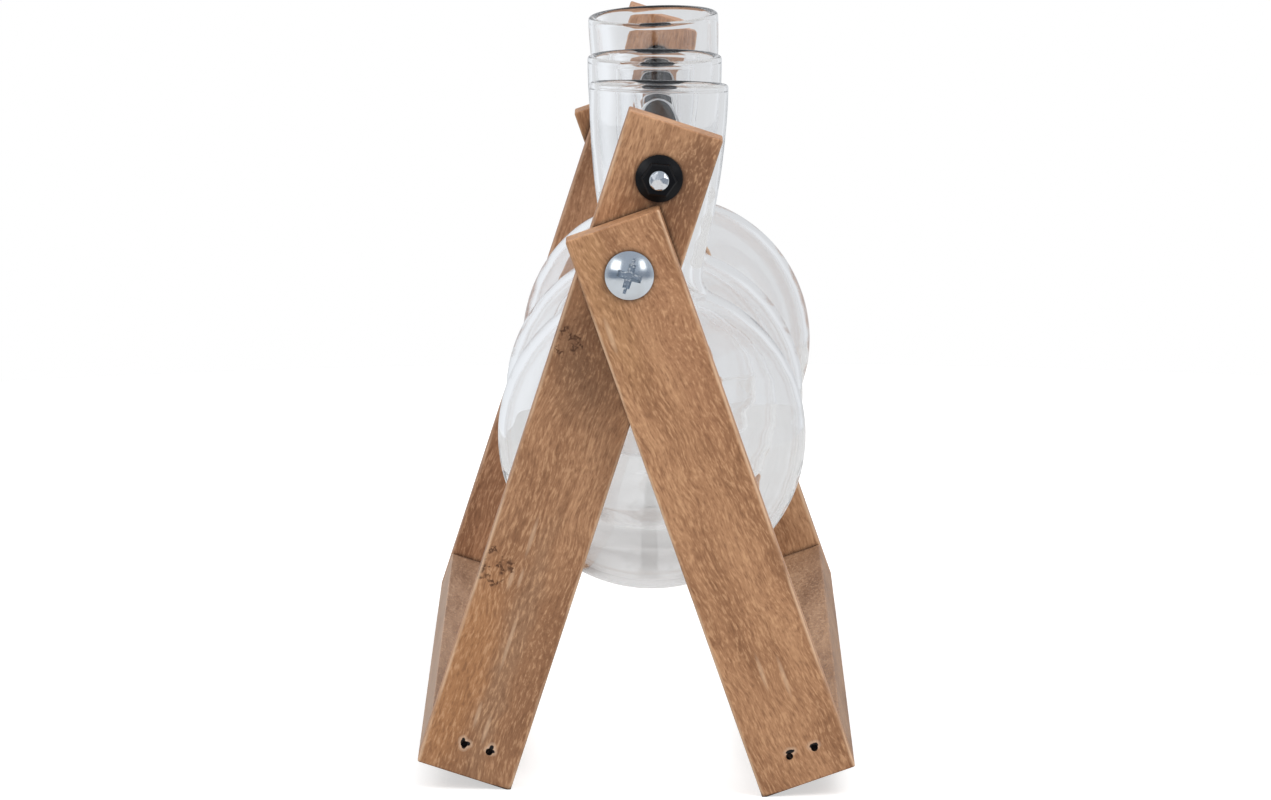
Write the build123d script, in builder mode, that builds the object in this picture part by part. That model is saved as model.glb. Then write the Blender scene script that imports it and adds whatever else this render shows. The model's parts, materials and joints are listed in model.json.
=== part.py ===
from build123d import *
from math import cos, hypot, radians, sin, sqrt
import os

# Propagation vase: three glass bulbs hang by their drilled necks on one sleeved rod, which
# crosses the top of a folding wooden stand. X runs across the stand, Y along the rod and Z up.
# The origin is on the table under the middle of the stand, and the front end is at low Y.
# Lengths are in millimetres and angles in degrees.

# Wooden slats, all sawn from one section
slat_width = 25.0
slat_thickness = 11.0
slat_edge_round = 0.5

# Stand, opened as it stands on a table
pivot_height = 133.9
tall_lean = 18.2
short_lean = 19.1
rod_below_top = 14.1
short_above_pivot = 13.2
foot_flat = 0.4

# Nails through the legs into the ends of the foot bars
nail_diameter = 1.7
nail_length = 26.0
nail_set = 0.8
nail_play = 0.05
nail_pitch = 6.7
nail_shift = 0.9
nail_rise = 8.0

# Pivot screw with a pan head, its nut and washers
screw_diameter = 6.0
screw_play = 0.06
screw_head_diameter = 12.4
screw_head_height = 3.3
screw_head_rim = 1.1
screw_tip_length = 2.0
screw_tip_chamfer = 0.6
slot_width = 0.8
slot_depth = 1.2
slot_turn = 17.0
recess_span = 6.6
recess_width = 2.0
recess_depth = 2.2
recess_taper = 12.0
pivot_washer_diameter = 15.0
pivot_washer_thickness = 0.5
nut_washer_diameter = 12.5
nut_washer_thickness = 1.2
washer_play = 0.2
pivot_nut_width = 10.0
pivot_nut_height = 5.0
pivot_nut_chamfer = 0.5

# Rod, its sleeve and its flanged end nuts
rod_diameter = 5.0
rod_play = 0.1
rod_tip_length = 0.9
rod_tip_chamfer = 0.3
sleeve_diameter = 12.0
flange_diameter = 12.0
flange_thickness = 1.0
flange_cone_height = 0.9
rod_nut_width = 8.0
rod_nut_height = 5.0
rod_nut_chamfer = 0.4
rod_nut_turn = 12.0
corner_gap = 0.2

# Glass bulbs, blown with a wide neck
bulb_radius = 40.0
bulb_wall = 2.0
bulb_gap = 3.0
end_gap = 5.5
waist_radius = 12.3
waist_round = 5.0
throat_radius = 14.0
throat_rise = 12.5
collar_radius = 16.6
collar_rise = 28.5
rim_radius = 18.0
neck_length = 51.4
lip_radius = 1.1
neck_hole_play = 0.4

# Each bulb hangs a little differently, front to rear: the mouth leans to the rear by its tilt and
# to the right by its swing, and its holes sit this far below the lip and beside the neck's middle
bulb_names = ("bulb_front", "bulb_middle", "bulb_rear")
bulb_tilts = (4.0, 0.0, -2.4)
bulb_swings = (1.4, 0.25, -2.1)
holes_below_lip = (18.1, 16.5, 19.3)
hole_offsets = (0.3, 1.0, 0.6)

# How far a cut runs on past what it cuts
cut_overrun = 2.0

# Heights and reaches that follow from the sizes above
corner_height = pivot_height + foot_flat
tall_below_pivot = (corner_height - slat_width / 2 * sin(radians(tall_lean))) / cos(radians(tall_lean))
short_below_pivot = (corner_height - slat_width / 2 * sin(radians(short_lean))) / cos(radians(short_lean))
tall_reach = slat_width / 2 * cos(radians(tall_lean)) + tall_below_pivot * sin(radians(tall_lean))
short_reach = slat_width / 2 * cos(radians(short_lean)) + short_below_pivot * sin(radians(short_lean))
pivot_x = (tall_reach - short_reach) / 2

# The rod sits just far enough up the tall legs for the short legs' corners to turn past its nuts
short_corner_radius = hypot(short_above_pivot, slat_width / 2)
rod_above_pivot = short_corner_radius + flange_diameter / 2 + corner_gap
tall_above_pivot = rod_above_pivot + rod_below_top
rod_x = pivot_x + rod_above_pivot * sin(radians(tall_lean))
rod_z = pivot_height + rod_above_pivot * cos(radians(tall_lean))

# Places along the rod, out from the middle
bulb_pitch = 2 * bulb_radius + bulb_gap
tall_inner_face = bulb_pitch + bulb_radius + end_gap
tall_outer_face = tall_inner_face + slat_thickness
short_inner_face = tall_outer_face + pivot_washer_thickness
short_outer_face = short_inner_face + slat_thickness

ends = (("front", -1), ("rear", 1))
upright = 0.0

os.makedirs("parts", exist_ok=True)


def finish(piece, name):
    piece.part.label = name
    export_step(piece.part, f"parts/{name}.step")


# A plane square to the rod, with its origin on the pivot's axis and its Y up a leg of this lean
def pivot_plane(lean, y):
    across = (cos(radians(lean)), 0, -sin(radians(lean)))
    return Plane(origin=(pivot_x, y, pivot_height), x_dir=across, z_dir=(0, -1, 0))


# The same plane, moved up the tall leg to the rod's axis
def rod_plane(y):
    return Plane(origin=(rod_x, y, rod_z), x_dir=pivot_plane(tall_lean, y).x_dir, z_dir=(0, -1, 0))


# Places of one leg's two nails, up from its lower end
def nail_places(below):
    height = nail_rise - below
    return ((nail_shift - nail_pitch / 2, height), (nail_shift + nail_pitch / 2, height))


# A leg: a slat with the pivot hole, the nail holes and, in the tall legs, the rod hole
def build_leg(name, lean, side, outer_face, above, below, rod_hole):
    face = pivot_plane(lean, side * outer_face)
    inward = side * slat_thickness
    with BuildPart() as leg:
        with BuildSketch(face):
            with Locations((0, (above - below) / 2)):
                Rectangle(slat_width, above + below)
        extrude(amount=inward)
        fillet(leg.edges(), slat_edge_round)
        with BuildSketch(face):
            Circle(screw_diameter / 2 + screw_play)
            with Locations(*nail_places(below)):
                Circle(nail_diameter / 2 + nail_play)
            if rod_hole:
                with Locations((0, rod_above_pivot)):
                    Circle(rod_diameter / 2 + rod_play)
        extrude(amount=inward, mode=Mode.SUBTRACT)
        split(bisect_by=Plane.XY, keep=Keep.TOP)
    finish(leg, name)


# A foot bar: a slat laid across the lower ends of two legs, with blind nail holes in its ends
def build_foot_bar(name, lean, inner_face, below):
    nail_reach = nail_length + nail_set - slat_thickness + cut_overrun
    with BuildPart() as bar:
        with BuildSketch(pivot_plane(lean, -inner_face)):
            with Locations((0, slat_thickness / 2 - below)):
                Rectangle(slat_width, slat_thickness)
        extrude(amount=-2 * inner_face)
        fillet(bar.edges().filter_by(Axis.Y), slat_edge_round)
        for side in (-1, 1):
            with BuildSketch(pivot_plane(lean, side * inner_face)):
                with Locations(*nail_places(below)):
                    Circle(nail_diameter / 2 + nail_play)
            extrude(amount=side * nail_reach, mode=Mode.SUBTRACT)
        split(bisect_by=Plane.XY, keep=Keep.TOP)
    finish(bar, name)


# The four nails of one frame, driven a little below the faces of the legs
def build_nails(name, lean, outer_face, below):
    with BuildPart() as nails:
        for side in (-1, 1):
            with BuildSketch(pivot_plane(lean, side * (outer_face - nail_set))):
                with Locations(*nail_places(below)):
                    Circle(nail_diameter / 2)
            extrude(amount=side * nail_length)
    finish(nails, name)


# Legs, foot bars and nails of both frames
for end, side in ends:
    build_leg(f"tall_leg_{end}", tall_lean, side, tall_outer_face, tall_above_pivot, tall_below_pivot, True)
    build_leg(
        f"short_leg_{end}", -short_lean, side, short_outer_face, short_above_pivot, short_below_pivot, False
    )
build_foot_bar("tall_foot_bar", tall_lean, tall_inner_face, tall_below_pivot)
build_foot_bar("short_foot_bar", -short_lean, short_inner_face, short_below_pivot)
build_nails("tall_bar_nails", tall_lean, tall_outer_face, tall_below_pivot)
build_nails("short_bar_nails", -short_lean, short_outer_face, short_below_pivot)


# A plane through an axis along Y: its X is the radius and its Y points outwards at this end
def turning_plane(x, y, z, side):
    return Plane(origin=(x, side * y, z), x_dir=(1, 0, 0), z_dir=(0, 0, side))


# A pan-head screw with a slot across the head and a cross recess in its middle
def build_pivot_screw(name, side):
    seat = turning_plane(pivot_x, short_outer_face, pivot_height, side)
    head_radius = screw_head_diameter / 2
    shank_radius = screw_diameter / 2
    nut_outer_end = tall_inner_face - nut_washer_thickness - pivot_nut_height
    shank_length = short_outer_face - nut_outer_end + screw_tip_length
    with BuildPart() as screw:
        with BuildSketch(seat):
            with BuildLine():
                TangentArc((0, screw_head_height), (head_radius, screw_head_rim), tangent=(1, 0))
                Polyline(
                    (head_radius, screw_head_rim),
                    (head_radius, 0),
                    (shank_radius, 0),
                    (shank_radius, screw_tip_chamfer - shank_length),
                    (shank_radius - screw_tip_chamfer, -shank_length),
                    (0, -shank_length),
                    (0, screw_head_height),
                )
            make_face()
        revolve(axis=Axis(seat.origin, (0, 1, 0)))
        head_top = pivot_plane(slot_turn, side * (short_outer_face + screw_head_height))
        with BuildSketch(head_top):
            Rectangle(slot_width, screw_head_diameter + cut_overrun)
        extrude(amount=side * slot_depth, mode=Mode.SUBTRACT)
        recess_top = Plane(origin=head_top.origin, x_dir=head_top.x_dir, z_dir=(0, -side, 0))
        with BuildSketch(recess_top):
            Rectangle(recess_width, recess_span)
            Rectangle(recess_span, recess_width)
        extrude(amount=recess_depth, taper=recess_taper, mode=Mode.SUBTRACT)
    finish(screw, name)


# A flat ring on the pivot's or the rod's axis, between two distances from the middle
def build_ring(name, centre, outer_radius, inner_radius, start, end):
    with BuildPart() as ring:
        with BuildSketch(Plane(origin=(centre[0], start, centre[1]), x_dir=(1, 0, 0), z_dir=(0, 1, 0))):
            Circle(outer_radius)
            Circle(inner_radius, mode=Mode.SUBTRACT)
        extrude(amount=end - start)
    finish(ring, name)


# The hexagon nut that holds a pivot screw inside the tall leg
def build_pivot_nut(name, side):
    start = side * (tall_inner_face - nut_washer_thickness)
    with BuildPart() as nut:
        with BuildSketch(pivot_plane(upright, start)):
            RegularPolygon(pivot_nut_width / 2, 6, major_radius=False)
        extrude(amount=side * pivot_nut_height)
        end_edges = nut.edges().filter_by(Axis.Y, reverse=True)
        chamfer(end_edges, pivot_nut_chamfer)
        with BuildSketch(pivot_plane(upright, start)):
            Circle(screw_diameter / 2 + screw_play)
        extrude(amount=side * pivot_nut_height, mode=Mode.SUBTRACT)
    finish(nut, name)


# A flanged nut on the rod's end, tight on the outer face of the tall leg
def build_rod_nut(name, side):
    seat = turning_plane(rod_x, tall_outer_face, rod_z, side)
    cone_top = flange_thickness + flange_cone_height
    face = rod_plane(side * tall_outer_face)
    with BuildPart() as nut:
        with BuildSketch(face):
            RegularPolygon(rod_nut_width / 2, 6, major_radius=False, rotation=rod_nut_turn)
        extrude(amount=-side * rod_nut_height)
        outer_end = nut.faces().sort_by(Axis.Y)[0 if side < 0 else -1]
        chamfer(outer_end.edges(), rod_nut_chamfer)
        with BuildSketch(seat):
            with BuildLine():
                Polyline(
                    (0, 0),
                    (flange_diameter / 2, 0),
                    (flange_diameter / 2, flange_thickness),
                    (rod_nut_width / 2, cone_top),
                    (0, cone_top),
                    close=True,
                )
            make_face()
        revolve(axis=Axis(seat.origin, (0, 1, 0)))
        with BuildSketch(face):
            Circle(rod_diameter / 2 + rod_play)
        extrude(amount=-side * rod_nut_height, mode=Mode.SUBTRACT)
    finish(nut, name)


# Pivot hardware and rod nuts at both ends
pivot_centre = (pivot_x, pivot_height)
rod_centre = (rod_x, rod_z)
for end, side in ends:
    build_pivot_screw(f"pivot_screw_{end}", side)
    build_ring(
        f"pivot_washer_{end}",
        pivot_centre,
        pivot_washer_diameter / 2,
        screw_diameter / 2 + washer_play,
        side * tall_outer_face,
        side * short_inner_face,
    )
    build_ring(
        f"nut_washer_{end}",
        pivot_centre,
        nut_washer_diameter / 2,
        screw_diameter / 2 + washer_play,
        side * (tall_inner_face - nut_washer_thickness),
        side * tall_inner_face,
    )
    build_pivot_nut(f"pivot_nut_{end}", side)
    build_rod_nut(f"rod_nut_{end}", side)


# The sleeve that keeps the tall legs apart and carries the bulbs
build_ring(
    "rod_sleeve",
    rod_centre,
    sleeve_diameter / 2,
    rod_diameter / 2 + rod_play,
    -tall_inner_face,
    tall_inner_face,
)

# The rod, from nut to nut with a short tip outside each
rod_half_length = tall_outer_face + rod_nut_height + rod_tip_length
with BuildPart() as rod:
    with BuildSketch(rod_plane(0)):
        Circle(rod_diameter / 2)
    extrude(amount=rod_half_length, both=True)
    chamfer(rod.edges().filter_by(GeomType.CIRCLE), rod_tip_chamfer)
finish(rod, "hanging_rod")


# Half of the bulb's outline, drawn inwards from its outer face by this depth: the sphere, the
# shoulder round that is tangent to it, and the neck that flares up to the lip
def bulb_outline(depth):
    sphere_radius = bulb_radius - depth
    shoulder_radius = bulb_radius + waist_round
    shoulder_x = waist_radius + waist_round
    shoulder_z = sqrt(shoulder_radius**2 - shoulder_x**2)
    tangent_share = sphere_radius / shoulder_radius
    sphere = ThreePointArc(
        (0, -sphere_radius),
        (sphere_radius, 0),
        (shoulder_x * tangent_share, shoulder_z * tangent_share),
    )
    shoulder = TangentArc(sphere @ 1, (waist_radius - depth, shoulder_z), tangent=sphere % 1)
    neck = Spline(
        shoulder @ 1,
        (throat_radius - depth, bulb_radius + throat_rise),
        (collar_radius - depth, bulb_radius + collar_rise),
        (rim_radius - depth, bulb_radius + neck_length - lip_radius),
        tangents=((0, 1), (0, 1)),
    )
    Polyline(neck @ 1, (0, bulb_radius + neck_length - lip_radius), sphere @ 0)


# A bulb, hung on the rod at this place along it
def build_bulb(name, y, tilt, swing, hole_below_lip, hole_offset):
    mouth_way = Vector(
        sin(radians(swing)) * cos(radians(tilt)),
        sin(radians(tilt)),
        cos(radians(swing)) * cos(radians(tilt)),
    )
    side_way = Vector(cos(radians(swing)), 0, -sin(radians(swing)))
    hang = bulb_radius + neck_length - hole_below_lip
    centre = Vector(rod_x, y, rod_z) - mouth_way * hang - side_way * hole_offset
    profile = Plane(origin=centre, x_dir=side_way, z_dir=side_way.cross(mouth_way))
    spin = Axis(centre, mouth_way)
    with BuildPart() as bulb:
        with BuildSketch(profile):
            with BuildLine():
                bulb_outline(0)
            make_face()
        revolve(axis=spin)
        with BuildSketch(profile):
            with BuildLine():
                bulb_outline(bulb_wall)
            make_face()
        revolve(axis=spin, mode=Mode.SUBTRACT)
        with BuildSketch(profile):
            with Locations((rim_radius - lip_radius, bulb_radius + neck_length - lip_radius)):
                Circle(lip_radius)
        revolve(axis=spin)
        with BuildSketch(rod_plane(y)):
            Circle(sleeve_diameter / 2 + neck_hole_play)
        extrude(amount=rim_radius + cut_overrun, both=True, mode=Mode.SUBTRACT)
    finish(bulb, name)


bulb_places = (-bulb_pitch, 0, bulb_pitch)
for bulb in zip(bulb_names, bulb_places, bulb_tilts, bulb_swings, holes_below_lip, hole_offsets):
    build_bulb(*bulb)
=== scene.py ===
import json
from math import atan2, cos, pi, radians, sin, sqrt

import bmesh
import bpy
import numpy as np
from mathutils import Matrix, Vector


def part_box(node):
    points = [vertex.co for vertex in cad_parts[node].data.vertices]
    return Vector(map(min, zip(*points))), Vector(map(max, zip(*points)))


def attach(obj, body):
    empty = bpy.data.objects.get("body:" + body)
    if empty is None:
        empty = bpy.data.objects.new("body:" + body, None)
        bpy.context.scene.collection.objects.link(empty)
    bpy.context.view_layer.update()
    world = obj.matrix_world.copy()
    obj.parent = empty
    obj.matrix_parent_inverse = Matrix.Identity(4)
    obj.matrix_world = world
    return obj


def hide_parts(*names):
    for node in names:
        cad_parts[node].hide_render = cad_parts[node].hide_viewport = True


# Propagation vase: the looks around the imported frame. Lengths are in metres, as in the frame,
# apart from the slats' own axes, the rod's cut ends and the bulbs, which are worked out in
# millimetres.
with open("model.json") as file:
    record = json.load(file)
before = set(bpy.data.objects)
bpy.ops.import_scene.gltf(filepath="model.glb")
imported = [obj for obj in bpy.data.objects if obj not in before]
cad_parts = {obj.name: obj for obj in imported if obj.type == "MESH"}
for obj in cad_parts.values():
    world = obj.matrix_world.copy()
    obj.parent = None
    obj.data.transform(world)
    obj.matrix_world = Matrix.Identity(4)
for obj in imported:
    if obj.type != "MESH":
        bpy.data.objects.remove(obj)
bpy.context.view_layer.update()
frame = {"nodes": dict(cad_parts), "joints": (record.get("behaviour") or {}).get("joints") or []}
nodes = frame["nodes"]
joints = {joint["name"]: joint for joint in frame["joints"]}

# A millimetre in metres, and a metre in millimetres
MM = 0.001
METRE = 1000
scene = bpy.context.scene
pivot = Vector(joints["frame_fold"]["pos_m"])
rod = Vector(joints["front_bulb_swing"]["pos_m"])

# Slats: how far the two frames lean, and a slat's section in millimetres
tall_lean = radians(18.2)
short_lean = radians(-19.1)
slat_width = 25.0
slat_thickness = 11.0

# Image and camera of the photograph
image_width = 1271
focal_pixels = 9078.98
sensor_width = 36.0
camera_azimuth = radians(0.0973)
camera_elevation = radians(8.22)
camera_roll = radians(-0.243)
camera_distance = 2.4454
camera_target = Vector((0.0000876, 0.0, 0.0802673))
nearest_seen = 0.05
farthest_seen = 30.0


def build_camera():
    data = bpy.data.cameras.new("camera")
    data.sensor_width = sensor_width
    data.lens = focal_pixels / image_width * sensor_width
    data.clip_start = nearest_seen
    data.clip_end = farthest_seen
    camera = bpy.data.objects.new("camera", data)
    scene.collection.objects.link(camera)
    level = cos(camera_elevation)
    back = Vector((sin(camera_azimuth) * level, -cos(camera_azimuth) * level, sin(camera_elevation)))
    right = (-back).cross(Vector((0, 0, 1))).normalized()
    up = right.cross(-back)
    rolled_right = right * cos(camera_roll) + up * sin(camera_roll)
    rolled_up = up * cos(camera_roll) - right * sin(camera_roll)
    turn = Matrix((rolled_right, rolled_up, back)).transposed().to_4x4()
    camera.matrix_world = Matrix.Translation(camera_target + back * camera_distance) @ turn
    scene.camera = camera


# Light crosses up to twelve glass surfaces in a row, and is mirrored many times inside the lips
most_bounces = 48
most_diffuse_bounces = 4

build_camera()
scene.view_settings.view_transform = "Standard"
scene.cycles.max_bounces = most_bounces
scene.cycles.transmission_bounces = most_bounces
scene.cycles.glossy_bounces = most_bounces
scene.cycles.diffuse_bounces = most_diffuse_bounces


# A node in a tree: links maps its sockets to values or to other nodes' outputs
def put(tree, kind, links=None, **settings):
    made = tree.nodes.new(kind)
    for key, value in settings.items():
        setattr(made, key, value)
    for socket, value in (links or {}).items():
        if isinstance(value, bpy.types.NodeSocket):
            tree.links.new(value, made.inputs[socket])
        else:
            made.inputs[socket].default_value = value
    return made


def calc(tree, operation, *values):
    return put(tree, "ShaderNodeMath", dict(enumerate(values)), operation=operation).outputs[0]


def absolute(tree, value):
    return calc(tree, "ABSOLUTE", value)


def product(tree, *values):
    total = values[0]
    for value in values[1:]:
        total = calc(tree, "MULTIPLY", total, value)
    return total


noise_middle = 0.5


# A base, plus a noise's distance from its middle times a weight
def weighed(tree, value, weight, base):
    return calc(tree, "MULTIPLY_ADD", calc(tree, "SUBTRACT", value, noise_middle), weight, base)


# A smooth step from out_low to out_high as the value goes from low to high
def spread(tree, value, low, high, out_low=0.0, out_high=1.0):
    links = {"Value": value, "From Min": low, "From Max": high, "To Min": out_low, "To Max": out_high}
    return put(tree, "ShaderNodeMapRange", links, interpolation_type="SMOOTHSTEP").outputs[0]


def mixed(tree, factor, first, second, blend="MIX"):
    links = {0: factor, 6: first, 7: second}
    made = put(tree, "ShaderNodeMix", links, data_type="RGBA", blend_type=blend)
    return made.outputs[2]


def grey(level):
    return (level, level, level, 1.0)


# A ray that has bounced this often inside the glass is let out, and sees this grey
trapped_depth = 22
trapped_grey = (0.80, 0.83, 0.86, 1.0)

# Soft panels of the studio: the azimuth of the middle and the half width, in degrees
left_panel = (-18.0, 12.0)
right_panel = (21.0, 4.0)
right_panel_strength = 0.6
seen_panels_repeat = 90.0
wide_box = (44.0, 15.0)
slim_box = (-44.0, 8.0)
mirrored_boxes_repeat = 180.0
panel_softness = 3.0

# Bands of a ray's rise, the upward share of its way: where a colour starts to show and where it's
# full, and for the mirrored boxes where they start and end
top_rise = (0.25, 0.7)
mirror_rise = (-0.02, 0.22)
box_rise = (0.21, 0.6)
box_rise_softness = 0.06
ambient_rise = (-0.3, 0.6)

# What shows through the glass, what is mirrored, and the light on everything else. To either side,
# the far side gives way to the camera's side between two azimuths in degrees
studio_grey = (0.70, 0.71, 0.725, 1.0)
left_white = (0.90, 0.93, 0.97, 1.0)
right_white = (0.93, 0.96, 1.0, 1.0)
top_white = (0.95, 0.97, 1.0, 1.0)
low_mirror = (0.20, 0.24, 0.30, 1.0)
high_mirror = (0.42, 0.46, 0.52, 1.0)
far_mirror = (0.64, 0.66, 0.69, 1.0)
far_side_ends = (95, 125)
box_level = 2.4
low_ambient = 0.5
high_ambient = 0.7


def panel(tree, azimuth, place, repeat):
    centre, half_width = place
    turned = calc(tree, "SUBTRACT", azimuth, radians(centre))
    wrapped = calc(tree, "WRAP", turned, radians(repeat / 2), radians(-repeat / 2))
    outside = radians(half_width + panel_softness)
    inside = radians(half_width - panel_softness)
    return spread(tree, absolute(tree, wrapped), outside, inside)


def between(tree, value, low, high, soft):
    above = spread(tree, value, low - soft, low + soft)
    below = spread(tree, value, high + soft, high - soft)
    return product(tree, above, below)


def seen_through_glass(tree, azimuth, rise):
    left = panel(tree, azimuth, left_panel, seen_panels_repeat)
    right = panel(tree, azimuth, right_panel, seen_panels_repeat)
    colour = mixed(tree, left, studio_grey, left_white)
    colour = mixed(tree, product(tree, right, right_panel_strength), colour, right_white)
    return mixed(tree, spread(tree, rise, *top_rise), colour, top_white)


# The darker studio lies on the camera's side, so glass edges mirror the paler side beyond
def mirrored_world(tree, azimuth, rise):
    wide = panel(tree, azimuth, wide_box, mirrored_boxes_repeat)
    slim = panel(tree, azimuth, slim_box, mirrored_boxes_repeat)
    level = between(tree, rise, *box_rise, box_rise_softness)
    box = product(tree, calc(tree, "MAXIMUM", wide, slim), level)
    colour = mixed(tree, spread(tree, rise, *mirror_rise), low_mirror, high_mirror)
    colour = mixed(tree, box, colour, grey(box_level))
    camera_side = spread(tree, absolute(tree, azimuth), *[radians(end) for end in far_side_ends])
    return mixed(tree, camera_side, far_mirror, colour)


# World: white for the camera, a pale grey studio with soft white panels for glass and metal
def build_world():
    world = bpy.data.worlds.new("studio")
    scene.world = world
    world.use_nodes = True
    tree = world.node_tree
    tree.nodes.clear()
    way = put(tree, "ShaderNodeTexCoord").outputs["Generated"]
    parts = put(tree, "ShaderNodeSeparateXYZ", {0: way}).outputs
    azimuth = calc(tree, "ARCTAN2", parts[0], parts[1])
    rise = parts[2]
    through = seen_through_glass(tree, azimuth, rise)
    mirrored = mirrored_world(tree, azimuth, rise)
    ambient = mixed(tree, spread(tree, rise, *ambient_rise), grey(low_ambient), grey(high_ambient))
    path = put(tree, "ShaderNodeLightPath").outputs
    colour = mixed(tree, path["Is Glossy Ray"], ambient, mirrored)
    colour = mixed(tree, path["Is Transmission Ray"], colour, through)
    freed = calc(tree, "GREATER_THAN", path["Ray Depth"], trapped_depth)
    colour = mixed(tree, freed, colour, trapped_grey)
    colour = mixed(tree, path["Is Camera Ray"], colour, grey(1.0))
    background = put(tree, "ShaderNodeBackground", {"Color": colour, "Strength": 1.0})
    put(tree, "ShaderNodeOutputWorld", {"Surface": background.outputs[0]})


# Floor: white to the camera, partly so in mirrors, and grey to light that bounces or passes glass
floor_radius = 0.64
floor_sides = 96
bouncing_floor = 0.5
shown_floor = 0.6
shown_glow = 0.55
mirrored_floor_share = 0.15


def build_floor():
    steps = [2 * pi * i / floor_sides for i in range(floor_sides)]
    ring = [(floor_radius * cos(angle), floor_radius * sin(angle), 0) for angle in steps]
    mesh = bpy.data.meshes.new("floor")
    mesh.from_pydata(ring, [], [tuple(range(floor_sides))])
    floor = bpy.data.objects.new("floor", mesh)
    scene.collection.objects.link(floor)
    material = bpy.data.materials.new("floor")
    material.use_nodes = True
    tree = material.node_tree
    tree.nodes.clear()
    plain = put(tree, "ShaderNodeBsdfDiffuse", {"Color": grey(bouncing_floor)}).outputs[0]
    white = put(tree, "ShaderNodeBsdfDiffuse", {"Color": grey(shown_floor)}).outputs[0]
    glow = put(tree, "ShaderNodeEmission", {"Color": grey(1.0), "Strength": shown_glow}).outputs[0]
    seen = put(tree, "ShaderNodeAddShader", {0: white, 1: glow}).outputs[0]
    path = put(tree, "ShaderNodeLightPath").outputs
    # A ray that has passed glass counts as glossy too, so it's taken off
    reflected = calc(tree, "SUBTRACT", path["Is Glossy Ray"], path["Is Transmission Ray"])
    direct = calc(tree, "MAXIMUM", path["Is Camera Ray"], product(tree, reflected, mirrored_floor_share))
    shown = put(tree, "ShaderNodeMixShader", {0: direct, 1: plain, 2: seen})
    put(tree, "ShaderNodeOutputMaterial", {"Surface": shown.outputs[0]})
    floor.data.materials.append(material)


# Soft lamps: azimuth and elevation as seen from the object, distance, size and power
lamps = (
    ("key", 38.0, 42.0, 1.5, 0.7, 9.0),
    ("fill", -42.0, 34.0, 1.5, 0.8, 4.0),
    ("back_left", 222.0, 42.0, 1.6, 0.8, 6.0),
    ("back_right", 138.0, 38.0, 1.6, 0.8, 5.0),
    ("above", 0.0, 88.0, 1.4, 0.9, 3.0),
)
lamp_target = Vector((0, 0, 0.08))


def build_lamps():
    for name, azimuth, elevation, distance, size, power in lamps:
        a = radians(azimuth)
        e = radians(elevation)
        out = Vector((sin(a) * cos(e), -cos(a) * cos(e), sin(e)))
        data = bpy.data.lights.new(name, "AREA")
        data.shape = "SQUARE"
        data.size = size
        data.energy = power
        lamp = bpy.data.objects.new(name, data)
        scene.collection.objects.link(lamp)
        lamp.location = lamp_target + out * distance
        lamp.rotation_mode = "QUATERNION"
        lamp.rotation_quaternion = out.to_track_quat("Z", "Y")
        lamp.visible_camera = False
        lamp.visible_glossy = False
        lamp.visible_transmission = False


build_world()
build_floor()
build_lamps()


def new_material(name):
    material = bpy.data.materials.new(name)
    material.use_nodes = True
    material.node_tree.nodes.clear()
    return material


def finish_surface(tree, links):
    shader = put(tree, "ShaderNodeBsdfPrincipled", links)
    put(tree, "ShaderNodeOutputMaterial", {"Surface": shader.outputs[0]})


def scaled(tree, vector, scale, turn=(0, 0, 0), shift=(0, 0, 0)):
    links = {"Vector": vector, "Location": shift, "Rotation": turn, "Scale": scale}
    return put(tree, "ShaderNodeMapping", links).outputs[0]


def noise(tree, vector, scale, detail=2.0, roughness=0.5, distortion=0.0):
    links = {
        "Vector": scaled(tree, vector, scale),
        "Scale": 1.0,
        "Detail": detail,
        "Roughness": roughness,
        "Distortion": distortion,
    }
    return put(tree, "ShaderNodeTexNoise", links).outputs[0]


def even(scale):
    return (scale, scale, scale)


# How open a place is: 1 on a free face and less in a hollow or beside a neighbour
def openness(tree, reach, samples):
    return put(tree, "ShaderNodeAmbientOcclusion", {"Distance": reach}, samples=samples).outputs["AO"]


def bumped(tree, height, strength, distance):
    links = {"Strength": strength, "Distance": distance, "Height": height}
    return put(tree, "ShaderNodeBump", links).outputs[0]


def ramp(tree, value, stops):
    made = put(tree, "ShaderNodeValToRGB", {0: value})
    band = made.color_ramp
    while len(band.elements) < len(stops):
        band.elements.new(0.5)
    for element, (place, colour) in zip(band.elements, stops):
        element.position = place
        element.color = (*colour, 1.0)
    return made.outputs[0]


# Millimetres in a slat's own axes, from the pivot: across, through and along the grain
def slat_coordinates(tree, lean, bar):
    place = put(tree, "ShaderNodeTexCoord").outputs["Object"]
    links = {0: place, 1: (pivot.x, 0, pivot.z)}
    from_pivot = put(tree, "ShaderNodeVectorMath", links, operation="SUBTRACT").outputs[0]
    leg = scaled(tree, from_pivot, even(METRE), (0, -lean, 0))
    if not bar:
        return leg
    parts = put(tree, "ShaderNodeSeparateXYZ", {0: leg}).outputs
    return put(tree, "ShaderNodeCombineXYZ", {0: parts[0], 1: parts[2], 2: parts[1]}).outputs[0]


# Colours of the wood, from its darkest tone to its palest, and of what is on it, with the colours of the
# painted highlight, sheen and shade
wood_stops = (
    (0.0, (0.20, 0.093, 0.046)),
    (0.35, (0.31, 0.158, 0.084)),
    (0.5, (0.40, 0.215, 0.119)),
    (0.7, (0.48, 0.270, 0.155)),
    (1.0, (0.58, 0.36, 0.225)),
)
pale_fleck = (0.68, 0.42, 0.255, 1.0)
dark_fleck = (0.165, 0.074, 0.036, 1.0)
nail_black = (0.003, 0.002, 0.002, 1.0)
# The pale colour of the painted sheen on a bar's sides
painted_sheen_colour = (0.82, 0.545, 0.37, 1.0)
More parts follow.
